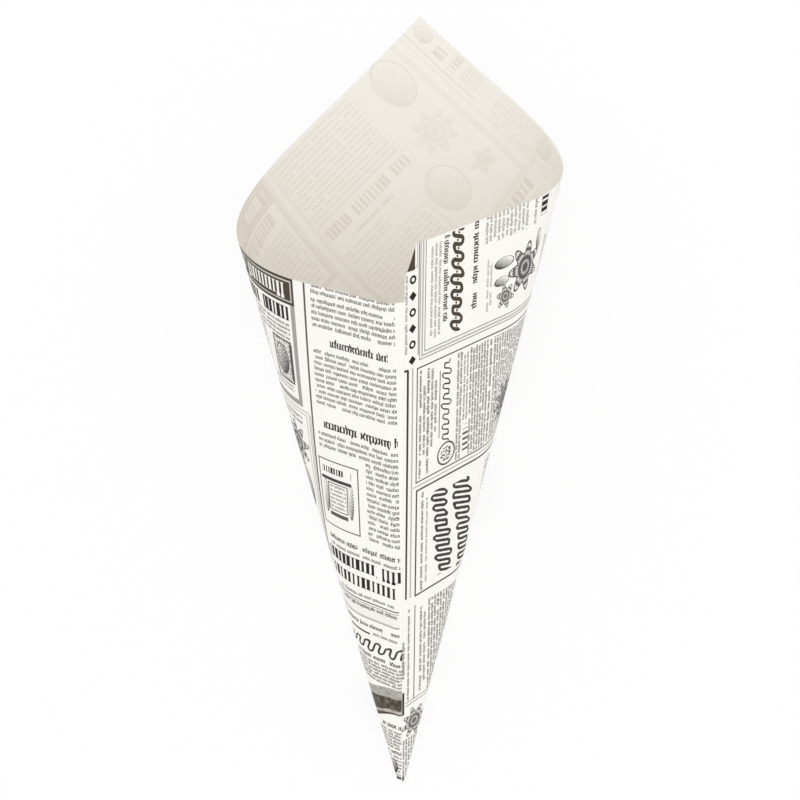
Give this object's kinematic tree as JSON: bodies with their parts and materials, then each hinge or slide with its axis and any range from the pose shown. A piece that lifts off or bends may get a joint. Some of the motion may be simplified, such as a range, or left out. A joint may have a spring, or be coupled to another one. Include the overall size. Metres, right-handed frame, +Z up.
{
  "type": "paper cone bag",
  "caption": "Printed paper sheet rolled to a point and glued down its front, open at the mouth, with a tall pointed back wall, for serving snacks in the hand.",
  "frame": {"origin": "under the middle of the bag, on the surface that its back wall lies on", "axes": "+Y from the tip towards the open mouth, +Z up from the back wall to the glued seam, +X towards the side that the flap comes from"},
  "size_m": [0.1318, 0.337, 0.1257],
  "materials": {
    "printed_paper": "matte, printed outside"
  },
  "bodies": {
    "root": {"paper_cone": "printed_paper"}
  },
  "joints": []
}
